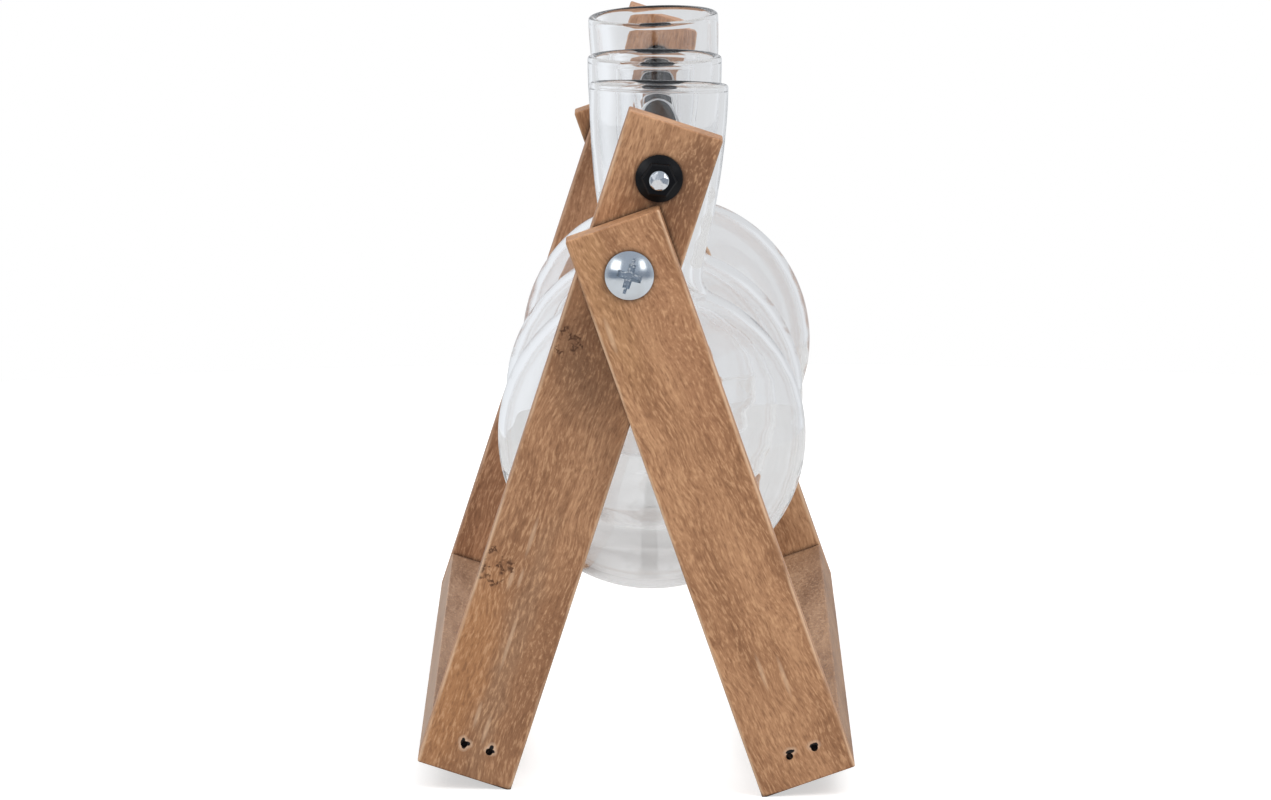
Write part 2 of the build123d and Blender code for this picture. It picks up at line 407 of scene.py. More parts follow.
# Pale wood for the streaks and the marks' rims, and also the painted highlight on the rounded edges
pale_wood_and_highlight = (0.70, 0.50, 0.36, 1.0)
knot_brown = (0.085, 0.035, 0.016, 1.0)
# The brown of the painted shade in corners and beside neighbouring parts
painted_shade_brown = (0.035, 0.017, 0.009, 1.0)

# Scales of the wood's noises per millimetre: across, through and along the grain
broad_scale = (0.10, 0.10, 0.022)
band_scale = (0.5, 0.5, 0.022)
fibre_scale = (2.6, 2.6, 0.16)
patch_scale = (0.09, 0.09, 0.035)
long_fleck_scale = (1.60, 1.60, 0.37)
short_fleck_scale = (1.45, 1.45, 0.72)
edge_break_scale = (0.3, 0.3, 0.05)
knot_wave_scale = even(0.55)
knot_gap_scale = even(0.4)

# How the grain wanders, and how ragged the outlines of the stains, the painted shadow and the torn marks are:
# scale, reach
grain_stir = (0.06, 4.0)
patch_stir = (0.22, 5.0)
mark_stir = (1.6, 0.4)

# How far a slat's seed moves it within the noises, so that no two slats have the same grain
seed_shift = (31.7, 17.3, 83.1)

# How strongly each noise and each thing on the wood shows
broad_weight = 0.9
band_weight = 0.55
fibre_weight = 0.5
fleck_middle = 0.49
palest_fleck = 0.68
darkest_fleck = 0.30
fleck_strength = 0.48
mottled_patches = (0.48, 0.70)
mottled_gain = 0.2
mottled_strength = 0.6
streak_strength = 0.45
knot_strength = 0.9
halo_strength = 0.45
halo_width = 0.6

# How soft the outlines of what is placed one by one are, as shares of their half sizes
stain_and_shadow_softness_share = 0.5
mottled_softness_share = 0.8
streak_softness_share = 0.6
halo_softness_share = 0.3
mark_softness_share = 0.15

# A knot's ring: how far its course waves, where it lies, the half widths where it has faded out and
# where it's full, and the band of the noise that breaks it
knot_wave = 2.2
knot_ring = 0.8
knot_ring_width = (0.34, 0.05)
knot_gaps = (0.40, 0.55)

# Bands beside a slat's edges in millimetres, where the painted highlight on the rounded edges and the painted
# sheen on a bar's sides start to show and where they're full, and the noise that breaks up the edge
# highlight: its band, and how much highlight it leaves at either end
edge_highlight_width = (0.9, 0.2)
edge_highlight_thickness = (0.8, 0.2)
edge_sheen_width = (0.4, 0.1)
edge_break_band = (0.4, 0.6)
edge_highlight_strength = (0.15, 0.75)

# Painted shade darkens the wood in corners and beside a neighbour, between these two degrees of openness
painted_shade_reach = 0.002
painted_shade_samples = 6
painted_shade_band = (0.40, 0.82)

# The wood's surface: how high fibres and flecks stand, a bump's strength and depth, and the gloss
fibre_height = 0.4
fleck_height = 1.6
wood_bump = (0.55, 0.00014)
fleck_band = (0.3, 0.7)
wood_roughness = (0.5, 0.66)
wood_shine = 0.35


# How far a slat's middle lies from the object's middle along the rod, in millimetres
def middle_depth(node):
    low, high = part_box(node)
    return (low[1] + high[1]) / 2 / MM


# Moves a place about by a noise
def stirred(tree, vector, scale, amount):
    made = put(tree, "ShaderNodeTexNoise", {"Vector": vector, "Scale": scale, "Detail": 1.0})
    links = {0: made.outputs[1], 1: even(noise_middle)}
    shift = put(tree, "ShaderNodeVectorMath", links, operation="SUBTRACT").outputs[0]
    links = {0: shift, 1: even(amount), 2: vector}
    return put(tree, "ShaderNodeVectorMath", links, operation="MULTIPLY_ADD").outputs[0]


# How far a place on a slat is from a point, in units of these half sizes
def away_from(tree, place, centre, half):
    shift = (-centre[0] / half[0], 0, -centre[1] / half[1])
    local = scaled(tree, place, (1 / half[0], 0, 1 / half[1]), shift=shift)
    return put(tree, "ShaderNodeVectorMath", {0: local}, operation="LENGTH").outputs["Value"]


def oval(tree, place, centre, half, soft):
    return spread(tree, away_from(tree, place, centre, half), 1 + soft, 1 - soft)


# Flecks over the stained wood, shorter and stronger where the figure is mottled
def add_flecks(tree, colour, grain, ragged, mottled):
    patches = noise(tree, grain, patch_scale)
    mottle = spread(tree, patches, *mottled_patches, 0.0, mottled_strength)
    for centre, half in mottled:
        patch = oval(tree, ragged, centre, half, mottled_softness_share)
        mottle = calc(tree, "MAXIMUM", mottle, product(tree, patch, mottled_strength))
    straight = noise(tree, grain, long_fleck_scale, roughness=0.6)
    short = noise(tree, grain, short_fleck_scale, roughness=0.62)
    change = product(tree, calc(tree, "SUBTRACT", short, straight), mottle)
    flecks = calc(tree, "ADD", straight, change)
    amount = calc(tree, "MULTIPLY_ADD", mottle, mottled_gain, fleck_strength)
    pale = product(tree, spread(tree, flecks, fleck_middle, palest_fleck), amount)
    dark = product(tree, spread(tree, flecks, fleck_middle, darkest_fleck), amount)
    colour = mixed(tree, pale, colour, pale_fleck)
    colour = mixed(tree, dark, colour, dark_fleck)
    return colour, flecks, amount


# A knot is a broken dark ring with a wavy course
def add_knot(tree, colour, place, ragged, centre, half):
    away = away_from(tree, ragged, centre, half)
    wave = noise(tree, place, knot_wave_scale, roughness=0.6, distortion=1.0)
    swirl = weighed(tree, wave, knot_wave, away)
    ring = spread(tree, absolute(tree, calc(tree, "SUBTRACT", swirl, knot_ring)), *knot_ring_width)
    broken = spread(tree, noise(tree, place, knot_gap_scale, detail=1.0), *knot_gaps)
    return mixed(tree, product(tree, ring, broken, knot_strength), colour, knot_brown)


# How far a place is into the band beside a slat's edge, given its distance from the middle
def beside_edge(tree, distance, half_size, band):
    return spread(tree, absolute(tree, distance), half_size - band[0], half_size - band[1])


# Painted highlight: pale bands along a slat's rounded long edges, where light catches them, broken up by
# noise
def add_edge_highlights(tree, colour, place, depth):
    sides = put(tree, "ShaderNodeSeparateXYZ", {0: place}).outputs
    across = beside_edge(tree, sides[0], slat_width / 2, edge_highlight_width)
    from_middle = calc(tree, "SUBTRACT", sides[1], depth)
    through = beside_edge(tree, from_middle, slat_thickness / 2, edge_highlight_thickness)
    patchy = spread(tree, noise(tree, place, edge_break_scale, detail=3.0), *edge_break_band, *edge_highlight_strength)
    return mixed(tree, product(tree, across, through, patchy), colour, pale_wood_and_highlight)


# Painted sheen: a pale line along a bar's outer edges, where grazing light catches the side
def add_edge_sheen(tree, colour, place, strength):
    sides = put(tree, "ShaderNodeSeparateXYZ", {0: place}).outputs
    outer = beside_edge(tree, sides[0], slat_width / 2, edge_sheen_width)
    return mixed(tree, product(tree, outer, strength), colour, painted_sheen_colour)


# Torn black marks with a paler, bruised rim
def add_marks(tree, colour, place, marks):
    torn = stirred(tree, place, *mark_stir)
    for centre, half in marks:
        halo = (half[0] + halo_width, half[1] + halo_width)
        rim = oval(tree, torn, centre, halo, halo_softness_share)
        colour = mixed(tree, product(tree, rim, halo_strength), colour, pale_wood_and_highlight)
    for centre, half in marks:
        hole = oval(tree, torn, centre, half, mark_softness_share)
        colour = mixed(tree, hole, colour, nail_black)
    return colour


# Stained hardwood with short flecks. The lists place what stands out on one slat, by its centre
# and half sizes in millimetres across and along from the pivot: mottled figure, stains with a
# colour and strength (one of them partly a painted shadow), pale streaks, knots and the torn marks where
# nails went in. The wood also gets a painted highlight on its rounded edges, a painted sheen on a bar's sides
# and painted shade in corners
def wood_material(
    name,
    lean,
    bar=False,
    seed=0.0,
    tint=(1, 1, 1),
    slant=0.0,
    depth=None,
    painted_sheen_strength=0.0,
    mottled=(),
    stains_and_shadow=(),
    streaks=(),
    knots=(),
    marks=(),
):
    material = new_material(name)
    tree = material.node_tree
    place = slat_coordinates(tree, lean, bar)
    ragged = stirred(tree, place, *patch_stir)
    shift = [seed * step for step in seed_shift]
    grain = stirred(tree, scaled(tree, place, (1, 1, 1), (0, slant, 0), shift), *grain_stir)
    broad = noise(tree, grain, broad_scale)
    bands = noise(tree, grain, band_scale, detail=3.0, roughness=0.55)
    fibres = noise(tree, grain, fibre_scale, detail=3.0, roughness=0.6)
    tone = weighed(tree, broad, broad_weight, noise_middle)
    tone = weighed(tree, bands, band_weight, tone)
    tone = weighed(tree, fibres, fibre_weight, tone)
    colour = ramp(tree, tone, wood_stops)
    # Stains, and the painted shadow among them, laid over the tone
    for centre, half, patch_colour, strength in stains_and_shadow:
        patch = oval(tree, ragged, centre, half, stain_and_shadow_softness_share)
        colour = mixed(tree, product(tree, patch, strength), colour, (*patch_colour, 1.0))
    colour, flecks, amount = add_flecks(tree, colour, grain, ragged, mottled)
    for centre, half in streaks:
        streak = oval(tree, place, centre, half, streak_softness_share)
        colour = mixed(tree, product(tree, streak, streak_strength), colour, pale_wood_and_highlight)
    for centre, half in knots:
        colour = add_knot(tree, colour, place, ragged, centre, half)
    # The painted highlight along the rounded edges
    if depth is not None:
        colour = add_edge_highlights(tree, colour, place, depth)
    # The painted sheen on a bar's sides
    if painted_sheen_strength:
        colour = add_edge_sheen(tree, colour, place, painted_sheen_strength)
    colour = mixed(tree, 1.0, colour, (*tint, 1.0), "MULTIPLY")
    colour = add_marks(tree, colour, place, marks)
    # Painted shade: the wood's colour darkens where it is closed in, in corners and beside neighbouring parts
    free = spread(tree, openness(tree, painted_shade_reach, painted_shade_samples), *painted_shade_band)
    colour = mixed(tree, free, painted_shade_brown, colour)
    fleck_bumps = product(tree, flecks, amount, fleck_height)
    height = calc(tree, "MULTIPLY_ADD", fibres, fibre_height, fleck_bumps)
    links = {
        "Base Color": colour,
        "Roughness": spread(tree, flecks, *fleck_band, *wood_roughness),
        "Normal": bumped(tree, height, *wood_bump),
        "Specular IOR Level": wood_shine,
    }
    finish_surface(tree, links)
    return material


# Scales of the metal's noises per metre, and the bands in which their effects come up
plating_scale = even(1400)
cloud_scale = even(240)
scraped_scale = even(1300)
crumb_scale = even(620)
cloud_band = (0.35, 0.7)
gloss_band = (0.3, 0.7)
scraped_band = (0.42, 0.62)
crumb_band = (0.54, 0.62)

# How strongly clouds show, their grey as a share of the colour's sum, and the roughness's range
cloud_strength = 0.25
cloud_grey_share = 0.25
roughness_shares = (0.8, 1.3)

# Painted shade darkens the metal in its hollows and beside neighbouring faces within this reach. By openness,
# one band runs from painted shade to unshaded metal, and over the other the bumps of the scraped spots fade
# out
hollow_shade_reach = 0.0008
hollow_shade_samples = 8
hollow_shade_band = (0.35, 0.85)
scraped_depth_band = (0.5, 0.95)
scraped_height = 40.0

# A bump's strength and depth, and the colour of the dust on the nails
metal_bump = (0.25, 0.00003)
nail_bump = (0.6, 0.0002)
nail_dust = (0.045, 0.026, 0.017, 1.0)


# Plated metal or a black finish, clouded. With a shade colour, its hollows get painted shade, broken by
# scraped spots
def metal_material(name, colour, roughness, metallic=1.0, specular=0.5, painted_hollow_shade=None):
    material = new_material(name)
    tree = material.node_tree
    place = put(tree, "ShaderNodeTexCoord").outputs["Object"]
    fine = noise(tree, place, plating_scale, detail=3.0)
    cloud = noise(tree, place, cloud_scale)
    clouded = spread(tree, cloud, *cloud_band, 0.0, cloud_strength)
    patchy = mixed(tree, clouded, (*colour, 1.0), grey(sum(colour) * cloud_grey_share))
    if painted_hollow_shade:
        # Painted shade in the hollows: the colour darkens where the metal is closed in, and is left off at
        # the scraped spots
        free = openness(tree, hollow_shade_reach, hollow_shade_samples)
        scraped = spread(tree, noise(tree, place, scraped_scale, detail=1.0), *scraped_band)
        unshaded = calc(tree, "MAXIMUM", spread(tree, free, *hollow_shade_band), scraped)
        patchy = mixed(tree, unshaded, (*painted_hollow_shade, 1.0), patchy)
        bump_height = spread(tree, free, *scraped_depth_band, scraped_height, 0.0)
        fine = calc(tree, "MULTIPLY_ADD", scraped, bump_height, fine)
    links = {
        "Base Color": patchy,
        "Metallic": metallic,
        "Roughness": spread(tree, cloud, *gloss_band, *[roughness * share for share in roughness_shares]),
        "Normal": bumped(tree, fine, *metal_bump),
        "Specular IOR Level": specular,
    }
    finish_surface(tree, links)
    return material


# Set nails: dark rusted wire, half covered by wood dust
def nail_material():
    material = new_material("nail_steel")
    tree = material.node_tree
    place = put(tree, "ShaderNodeTexCoord").outputs["Object"]
    crumbs = noise(tree, place, crumb_scale, roughness=0.6)
    links = {
        "Base Color": mixed(tree, spread(tree, crumbs, *crumb_band), nail_black, nail_dust),
        "Roughness": 0.8,
        "Normal": bumped(tree, crumbs, *nail_bump),
        "Specular IOR Level": 0.2,
    }
    finish_surface(tree, links)
    return material


# Glass, clear unless it's rough. Light that is caught inside a wall is let out after many bounces
glass_ior = 1.48


def glass_material(name, roughness=0.0, colour=(1, 1, 1)):
    material = new_material(name)
    tree = material.node_tree
    depth = put(tree, "ShaderNodeLightPath").outputs["Ray Depth"]
    links = {
        "Base Color": (*colour, 1.0),
        "Roughness": roughness,
        "IOR": glass_ior,
        "Transmission Weight": 1.0,
        "Alpha": calc(tree, "LESS_THAN", depth, trapped_depth),
    }
    finish_surface(tree, links)
    return material


# Fills every slot of a node with one material
def dress(node, material):
    slots = nodes[node].data.materials
    for i in range(len(slots)):
        slots[i] = material


# What stands out on the two front legs, and the plainer slats behind them
dress(
    "tall_leg_front",
    wood_material(
        "wood_tall_front",
        tall_lean,
        seed=1.0,
        tint=(1.0, 0.965, 0.90),
        depth=middle_depth("tall_leg_front"),
        mottled=(((-3, -18), (9, 16)), ((8, -100), (4, 14)), ((6, 30), (8, 9))),
        stains_and_shadow=(
            ((0, -110), (15, 36), (0.24, 0.115, 0.058), 0.5),
            ((9, 22), (7, 15), (0.20, 0.10, 0.055), 0.45),
            # Partly a painted shadow: the shade the short leg casts on this leg below the pivot, over a
            # darker stain
            ((0, -22), (11, 17), (0.19, 0.105, 0.062), 0.5),
            ((-9, -112), (6.5, 27), (0.46, 0.225, 0.10), 0.6),
            ((1.5, -104), (3.2, 34), (0.29, 0.175, 0.11), 0.45),
            ((8, 24), (4, 12), (0.17, 0.08, 0.045), 0.4),
        ),
        streaks=(
            ((-2.4, -73), (0.5, 4.5)),
            ((-4.2, -85), (0.55, 2.4)),
            ((0.4, -100.5), (0.45, 6.5)),
            ((-1.9, -84), (0.4, 2.2)),
            ((-1.5, -121), (0.5, 2.8)),
            ((1.8, -124), (0.5, 3.2)),
        ),
        knots=(((-9.3, -83.5), (4.0, 4.4)), ((-9.5, -22.5), (3.4, 3.8))),
        marks=(
            ((-3.0, -128.6), (0.55, 0.9)),
            ((-1.7, -128.9), (0.8, 0.55)),
            ((-2.4, -129.8), (0.6, 0.7)),
            ((4.5, -128.9), (1.1, 0.55)),
            ((4.5, -128.1), (0.55, 0.8)),
        ),
    ),
)
dress(
    "short_leg_front",
    wood_material(
        "wood_short_front",
        short_lean,
        seed=3.0,
        tint=(1.04, 0.99, 0.90),
        slant=0.12,
        depth=middle_depth("short_leg_front"),
        mottled=(((6, -12), (7, 26)), ((4, 9), (8, 5))),
        stains_and_shadow=(
            ((-7.5, -4), (4.5, 22), (0.44, 0.25, 0.13), 0.55),
            ((7, -20), (5, 28), (0.33, 0.16, 0.09), 0.35),
        ),
        streaks=(
            ((-9.6, -13), (0.6, 4.0)),
            ((-2.0, -107), (0.5, 4.0)),
            ((3.0, -110), (0.5, 4.5)),
        ),
        marks=(((-1.9, -128.7), (1.15, 0.5)), ((4.3, -129.2), (1.15, 0.7))),
    ),
)
dress(
    "tall_leg_rear",
    wood_material(
        "wood_tall_rear",
        tall_lean,
        seed=2.0,
        tint=(0.9, 0.84, 0.8),
        depth=middle_depth("tall_leg_rear"),
    ),
)
dress(
    "short_leg_rear",
    wood_material(
        "wood_short_rear",
        short_lean,
        seed=4.0,
        tint=(0.9, 0.87, 0.8),
        depth=middle_depth("short_leg_rear"),
    ),
)
dress(
    "tall_foot_bar",
    wood_material(
        "wood_tall_bar",
        tall_lean,
        bar=True,
        seed=5.0,
        tint=(0.69, 0.74, 0.81),
        painted_sheen_strength=0.45,
    ),
)
dress(
    "short_foot_bar",
    wood_material("wood_short_bar", short_lean, bar=True, seed=6.0, tint=(0.73, 0.76, 0.78)),
)

# Plated metal, black finishes and plastic
# The zinc's hollows, the screw's slot and recess among them, get painted shade
zinc = metal_material("zinc", (0.70, 0.75, 0.80), roughness=0.2, painted_hollow_shade=(0.42, 0.46, 0.50))
cut_zinc = metal_material("cut_zinc", (0.80, 0.82, 0.85), roughness=0.24)
black = metal_material("black_plate", (0.0035, 0.0035, 0.0045), roughness=0.38, metallic=0.0, specular=0.22)
sleeve = metal_material("black_sleeve", (0.007, 0.007, 0.008), roughness=0.85, metallic=0.0, specular=0.03)
nylon = metal_material("nylon", (0.78, 0.78, 0.75), roughness=0.5, metallic=0.0)
nail_steel = nail_material()
for end in ("front", "rear"):
    dress(f"pivot_screw_{end}", zinc)
    dress(f"pivot_nut_{end}", zinc)
    dress(f"nut_washer_{end}", zinc)
    dress(f"pivot_washer_{end}", nylon)
    dress(f"rod_nut_{end}", black)
dress("hanging_rod", zinc)
dress("rod_sleeve", sleeve)
dress("tall_bar_nails", nail_steel)
dress("short_bar_nails", nail_steel)

# The rod's ends are cut off roughly, so facets stand up on the tip. The base is a list of an angle
# in degrees and a radius, the ridge adds a height, and the peak is across, up and out, in millimetres
cut_base = (
    (10, 2.40),
    (55, 2.42),
    (98, 2.36),
    (150, 2.42),
    (205, 2.38),
    (248, 2.42),
    (300, 2.40),
    (335, 2.41),
)
cut_ridge = (
    (40, 1.5, 0.34),
    (100, 2.0, 0.16),
    (170, 1.3, 0.42),
    (262, 1.7, 0.12),
    (330, 1.1, 0.46),
)
cut_peak = (0.25, 0.35, 0.62)
cut_inset = 0.02


def build_rod_cut(end, side):
    low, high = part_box("hanging_rod")
    face = (low[1] if side < 0 else high[1]) - side * cut_inset * MM
    work = bmesh.new()

    def corner(x, z, out):
        return work.verts.new((rod.x + side * -x * MM, face + side * out * MM, rod.z + z * MM))

    base = [corner(r * cos(radians(a)), r * sin(radians(a)), 0) for a, r in cut_base]
    ridge = [corner(r * cos(radians(a)), r * sin(radians(a)), out) for a, r, out in cut_ridge]
    peak = corner(*cut_peak)
    work.faces.new(base)
    # Base and ridge are joined by triangles in the order of their angles
    steps = [(a, 0, i) for i, (a, _) in enumerate(cut_base)]
    steps += [(a, 1, i) for i, (a, _, _) in enumerate(cut_ridge)]
    b = len(base) - 1
    r = len(ridge) - 1
    for _, ring, i in sorted(steps):
        if ring == 0:
            work.faces.new((base[b], base[i], ridge[r]))
            b = i
        else:
            work.faces.new((ridge[r], base[b], ridge[i]))
            r = i
    for i in range(len(ridge)):
        work.faces.new((ridge[i - 1], ridge[i], peak))
    bmesh.ops.recalc_face_normals(work, faces=work.faces)
    mesh = bpy.data.meshes.new(f"rod_cut_{end}")
    work.to_mesh(mesh)
    work.free()
    mesh.materials.append(cut_zinc)
    piece = bpy.data.objects.new(f"rod_cut_{end}", mesh)
    scene.collection.objects.link(piece)
    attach(piece, "tall_frame")


build_rod_cut("front", -1)
build_rod_cut("rear", 1)

# Glass bulbs, in millimetres in each bulb's own axes: along its mouth's way, across and deep.
# The neck's points are radius and height above the middle of the sphere
bulb_radius = 40.0
bulb_wall = 2.0
waist_radius = 12.3
waist_round = 5.0
neck_points = ((14.0, 52.5), (16.6, 68.5), (18.0, 90.3))
lip_radius = 1.1
lip_blend = 1.2
lip_turn = radians(190)
bulb_top = 91.4
hole_radius = 6.4
hole_round = 0.35

# Each bulb's place along the rod, its tilt along the rod and swing about it in degrees, how far
# its rim stands above the rod's middle, and how far its holes sit to one side
bulbs = (
    ("front", -83.0, 4.0, 1.4, 18.1, 0.3),
    ("middle", 0.0, 0.0, 0.25, 16.5, 1.0),
    ("rear", 83.0, -2.4, -2.1, 19.3, 0.6),
)

# Unevenness of hand-blown walls: a slow swell and fine rings, none near the lip and the bottom
outer_swell = 0.05
inner_swell = 0.09
outer_ripple = 0.02
inner_ripple = 0.03
even_below_lip = 4.0
lip_fade = 10.0
bottom_fade = 12.0

# Their waves: how many a turn, how fast they change with height, how far the rings sway from level,
# and where the waves start, which differs from bulb to bulb and wall to wall
swell_lobes = 3
swell_slant = 0.06
swell_pace = 0.09
ring_lobes = 2
ring_pace = 0.9
ring_sway = 0.8
ring_beat = 0.13
wave_start = 0.7
wave_start_along_rod = 0.031

# How finely a bulb is divided: columns round it, rows of each stretch from the bottom to the lip,
# and the patch of the grid that gives way to rings round each hole
turns = 128
sphere_rows = 100
waist_rows = 14
lower_neck_rows = 26
upper_neck_rows = 8
lip_rows = 20
sweep_rows = 9
edge_rows = 5
patch_half_columns = 12
patch_half_rows = 12
patch_row = 0.8
patch_layers = 6
patch_crowding = 1.4
curve_samples = 60

# Where a hole meets a wall is searched for from this far along the rod, in this many steps
search_start = 15.0
search_steps = 30


def waist_height():
    return sqrt((bulb_radius + waist_round) ** 2 - (waist_radius + waist_round) ** 2)


# A smooth curve through the neck's points with upright ends, as a function of height
def neck_curve():
    points = np.array(((waist_radius, waist_height()),) + neck_points)
    steps = np.hypot(*np.diff(points, axis=0).T)
    size = len(points)
    matrix = np.zeros((size, size))
    right = np.zeros((size, 2))
    matrix[0, 0] = matrix[-1, -1] = 1
    right[0] = right[-1] = (0, 1)
    for i in range(1, size - 1):
        before = steps[i - 1]
        after = steps[i]
        matrix[i, i - 1] = after
        matrix[i, i] = 2 * (before + after)
        matrix[i, i + 1] = before
        rise_before = (points[i] - points[i - 1]) / before
        rise_after = (points[i + 1] - points[i]) / after
        right[i] = 3 * (after * rise_before + before * rise_after)
    tangents = np.linalg.solve(matrix, right)
    # Each stretch is a cubic between two points, with these tangents at its ends
    samples = []
    for i, step in enumerate(steps):
        for t in np.linspace(0, 1, curve_samples):
            a = 2 * t**3 - 3 * t**2 + 1
            b = t**3 - 2 * t**2 + t
            c = 3 * t**2 - 2 * t**3
            d = t**3 - t**2
            start = a * points[i] + b * step * tangents[i]
            samples.append(start + c * points[i + 1] + d * step * tangents[i + 1])
    samples = np.array(samples)
    return samples[:, 1], samples[:, 0]


neck_heights, neck_radii = neck_curve()


def neck_radius(height, depth):
    return np.interp(height, neck_heights, neck_radii) - depth


# Rows of one wall from the bottom to the lip: radius and height. The wall lies this deep in the
# glass: nothing for the outer one
def wall_rows(depth, hole_height):
    radius = bulb_radius - depth
    shoulder_x = waist_radius + waist_round
    top_angle = atan2(waist_height(), shoulder_x)
    rows = []
    for angle in np.linspace(-pi / 2, top_angle, sphere_rows)[1:]:
        rows.append((radius * cos(angle), radius * sin(angle)))
    round_radius = waist_round + depth
    for angle in np.linspace(pi + top_angle, pi, waist_rows)[1:]:
        rows.append((shoulder_x + round_radius * cos(angle), waist_height() + round_radius * sin(angle)))
    low = hole_height - patch_half_rows * patch_row
    high = hole_height + patch_half_rows * patch_row
    heights = list(np.linspace(waist_height(), low, lower_neck_rows)[1:])
    start = len(rows) + len(heights) - 1
    heights += [low + patch_row * (i + 1) for i in range(2 * patch_half_rows)]
    top = bulb_top - lip_radius - (lip_blend if depth else 0)
    heights += list(np.linspace(high, top, upper_neck_rows)[1:])
    rows += [(float(neck_radius(h, depth)), h) for h in heights]
    return rows, start


def straighten(mesh):
    work = bmesh.new()
    work.from_mesh(mesh)
    bmesh.ops.recalc_face_normals(work, faces=work.faces)
    work.to_mesh(mesh)
    work.free()


# One bulb's mesh: the outer and the inner wall, the lip that joins them, and the two drilled holes
class BulbMesh:
    def __init__(self, name, place, tilt, swing, below_lip, offset):
        self.name = name
        t = radians(tilt)
        s = radians(swing)
        self.up = np.array((sin(s) * cos(t), sin(t), cos(s) * cos(t)))
        self.across = np.array((cos(s), 0, -sin(s)))
        self.deep = np.cross(self.up, self.across)
        self.hole_height = bulb_top - below_lip
        self.rod = np.array((rod.x, 0, rod.z)) * METRE + np.array((0, place, 0))
        self.centre = self.rod - self.hole_height * self.up - offset * self.across
        self.seed = place
        self.points = []
        self.faces = []
        self.ground = set()

    # How far a wall stands out at a place: the outer wall only ever inwards, so the bulb never
    # grows, and the inner wall both ways
    def uneven(self, angle, height, depth):
        below_lip = np.clip((bulb_top - even_below_lip - height) / lip_fade, 0, 1)
        above_bottom = np.clip((height + bulb_radius) / bottom_fade, 0, 1)
        fade = below_lip * above_bottom
        start = wave_start + self.seed * wave_start_along_rod + depth
        lobes = np.sin(swell_lobes * angle + swell_slant * height + start)
        swell = lobes * np.sin(swell_pace * height + 2 * start)
        sway = ring_sway * np.sin(ring_lobes * angle + start)
        rings = np.sin(ring_pace * height + sway) * np.sin(ring_beat * height + start)
        if depth:
            return fade * (inner_swell * swell + inner_ripple * rings)
        return -fade * (outer_swell * (1 + swell) / 2 + outer_ripple * (1 + rings) / 2)

    def place(self, angle, radius, height):
        return (
            self.centre
            + np.multiply.outer(radius * np.cos(angle), self.across)
            + np.multiply.outer(radius * np.sin(angle), self.deep)
            + np.multiply.outer(height * np.ones_like(angle), self.up)
        )

    # The other way round: angle, radius and height of a point
    def local(self, x, y, z):
        offset = np.stack((x, y, z), -1) - self.centre
        across = offset @ self.across
        deep = offset @ self.deep
        return np.arctan2(deep, across), np.hypot(across, deep), offset @ self.up

    def add(self, points):
        start = len(self.points)
        self.points.extend(points.tolist())
        return list(range(start, start + len(points)))

    def bridge(self, first, second, ground=False):
        count = len(first)
        for i in range(count):
            j = (i + 1) % count
            if ground:
                self.ground.add(len(self.faces))
            self.faces.append((first[i], first[j], second[j], second[i]))

    # Points of a hole's rounded rim about the rod's axis where it meets one wall, front or rear
    def hole_circle(self, directions, side, depth):
        radius = hole_radius + hole_round
        x = self.rod[0] + radius * np.cos(directions)
        z = self.rod[2] + radius * np.sin(directions)
        y = np.full_like(x, self.rod[1] + side * search_start)
        for _ in range(search_steps):
            angle, distance, height = self.local(x, y, z)
            wanted = neck_radius(height, depth) + self.uneven(angle, height, depth)
            y += side * (wanted - distance)
        return x, y, z

    # One wall with its two round holes, and the rings of points round them
    def wall(self, depth):
        rows, start = wall_rows(depth, self.hole_height)
        angles = np.arange(turns) * 2 * pi / turns
        bottom = self.centre + self.up * -(bulb_radius - depth)
        self.points.append(bottom.tolist())
        pole = len(self.points) - 1
        grid = []
        for radius, height in rows:
            uneven = self.uneven(angles, height, depth)
            grid.append(self.add(self.place(angles, radius + uneven, height)))
        for i in range(turns):
            self.faces.append((pole, grid[0][(i + 1) % turns], grid[0][i]))
        middles = {-1: 3 * turns // 4, 1: turns // 4}
        patch_columns = {
            middle + i for middle in middles.values() for i in range(-patch_half_columns, patch_half_columns)
        }
        for row in range(len(rows) - 1):
            in_rows = start <= row < start + 2 * patch_half_rows
            for column in range(turns):
                if in_rows and column in patch_columns:
                    continue
                following = (column + 1) % turns
                self.faces.append(
                    (grid[row][column], grid[row][following], grid[row + 1][following], grid[row + 1][column])
                )
        holes = {}
        for side, middle in middles.items():
            holes[side] = self.patch(grid, rows, start, side, middle, depth)
        return grid[-1], rows[-1], holes

    # The rings between the square patch of the wall's grid and the round hole in it
    def patch(self, grid, rows, start, side, middle, depth):
        columns = patch_half_columns
        count = patch_half_rows
        edge = [(i, -count) for i in range(-columns, columns)]
        edge += [(columns, j) for j in range(-count, count)]
        edge += [(i, count) for i in range(columns, -columns, -1)]
        edge += [(-columns, j) for j in range(count, -count, -1)]
        ring = [grid[start + count + j][middle + i] for i, j in edge]
        step = 2 * pi / turns
        edge_angle = np.array([(middle + i) * step for i, _ in edge])
        edge_height = np.array([rows[start + count + j][1] for _, j in edge])
        squareness = np.array([(i / columns, j / count) for i, j in edge])
        way = np.arctan2(squareness[:, 1], squareness[:, 0])
        directions = way if side < 0 else pi - way
        angle, _, height = self.local(*self.hole_circle(directions, side, depth))
        angle = np.where(angle < 0, angle + 2 * pi, angle)
        for layer in range(1, patch_layers + 1):
            share = 1 - (1 - layer / patch_layers) ** patch_crowding
            a = edge_angle + (angle - edge_angle) * share
            h = edge_height + (height - edge_height) * share
            r = neck_radius(h, depth) + self.uneven(a, h, depth)
            inner = self.add(self.place(a, r, h))
            self.bridge(ring, inner)
            ring = inner
        return ring, directions

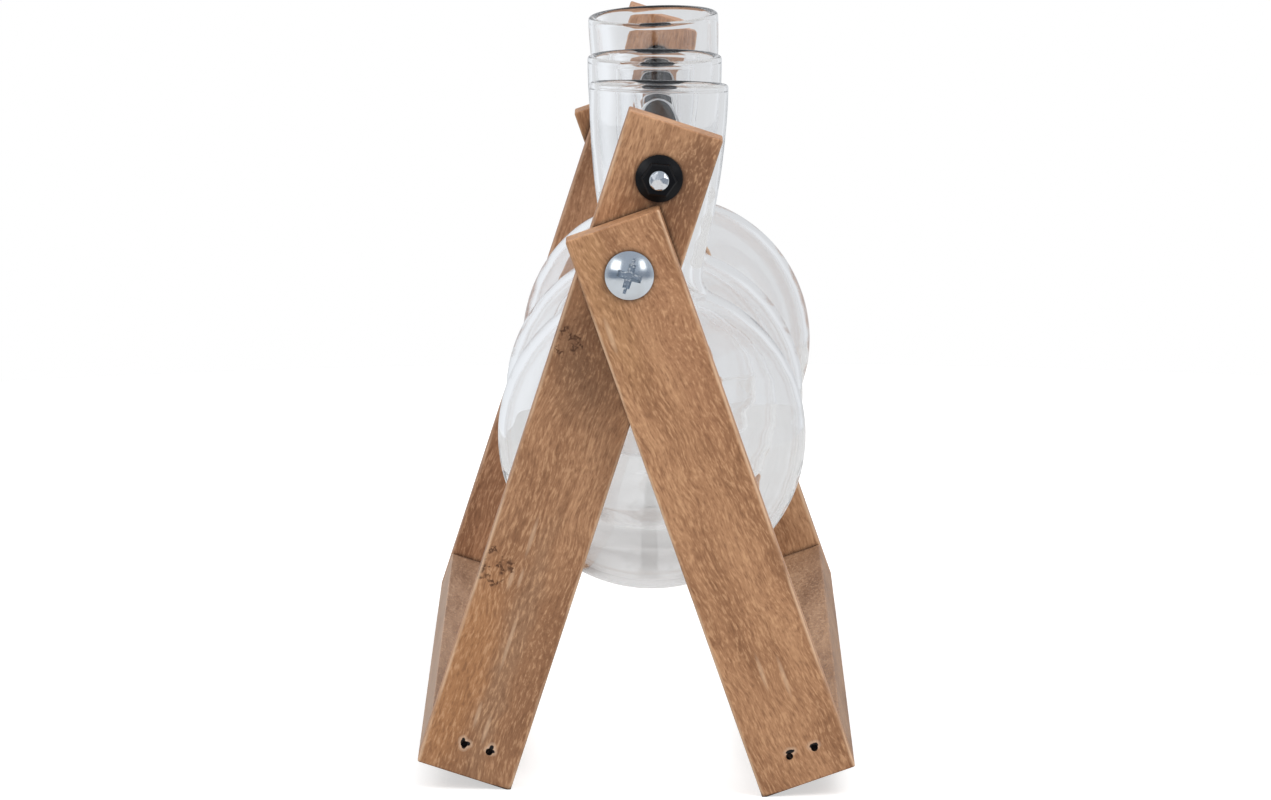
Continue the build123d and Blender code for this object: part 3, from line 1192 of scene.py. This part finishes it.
    # The rounded, ground edge of a hole from one wall into the bore
    def round_edge(self, ring, directions, side, depth):
        rings = [ring]
        into = side if depth else -side
        _, rim_y, _ = self.hole_circle(directions, side, depth)
        for angle in np.linspace(0, pi / 2, edge_rows)[1:]:
            radius = hole_radius + hole_round * (1 - sin(angle))
            x = self.rod[0] + radius * np.cos(directions)
            z = self.rod[2] + radius * np.sin(directions)
            y = rim_y + into * hole_round * (1 - cos(angle))
            rings.append(self.add(np.stack((x, y, z), -1)))
        return rings

    # The lip's bead, which runs down into the inner wall in one smooth sweep
    def lip_profile(self, outer_radius, bead_height, inner_radius, inner_height):
        bead = outer_radius - lip_radius
        profile = []
        for a in np.linspace(0, lip_turn, lip_rows)[1:]:
            profile.append((bead + lip_radius * cos(a), bead_height + lip_radius * sin(a)))
        last_radius, last_height = profile[-1]
        for t in np.linspace(0, 1, sweep_rows)[1:-1]:
            share = 3 * t**2 - 2 * t**3
            radius = last_radius + (inner_radius - last_radius) * share
            profile.append((radius, last_height + (inner_height - last_height) * t))
        return profile

    def make_points_and_faces(self):
        outer_top, outer_end, outer_holes = self.wall(0.0)
        inner_top, inner_end, inner_holes = self.wall(bulb_wall)
        angles = np.arange(turns) * 2 * pi / turns
        ring = outer_top
        for radius, height in self.lip_profile(*outer_end, *inner_end):
            following = self.add(self.place(angles, radius * np.ones(turns), height))
            self.bridge(ring, following)
            ring = following
        self.bridge(ring, inner_top)
        for side in (-1, 1):
            outside = self.round_edge(*outer_holes[side], side, 0.0)
            inside = self.round_edge(*inner_holes[side], side, bulb_wall)
            rings = outside + inside[::-1]
            for first, second in zip(rings, rings[1:]):
                self.bridge(first, second, ground=True)

    def build(self, glass, ground_glass):
        self.make_points_and_faces()
        mesh = bpy.data.meshes.new(f"glass_{self.name}")
        mesh.from_pydata((np.array(self.points) * MM).tolist(), [], self.faces)
        mesh.materials.append(glass)
        mesh.materials.append(ground_glass)
        indices = np.zeros(len(mesh.polygons), dtype=np.int32)
        indices[list(self.ground)] = 1
        mesh.polygons.foreach_set("material_index", indices)
        mesh.polygons.foreach_set("use_smooth", np.ones(len(mesh.polygons), dtype=bool))
        piece = bpy.data.objects.new(f"glass_{self.name}", mesh)
        scene.collection.objects.link(piece)
        straighten(mesh)
        piece.visible_shadow = False
        piece.visible_diffuse = False
        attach(piece, f"{self.name}_bulb")
        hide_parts(f"bulb_{self.name}")


clear_glass = glass_material("clear_glass")
# The holes' ground edges are tinted grey, a painted shade that keeps them from showing bright
hole_glass = glass_material("ground_glass", roughness=0.6, colour=(0.4, 0.41, 0.43))
for bulb in bulbs:
    BulbMesh(*bulb).build(clear_glass, hole_glass)
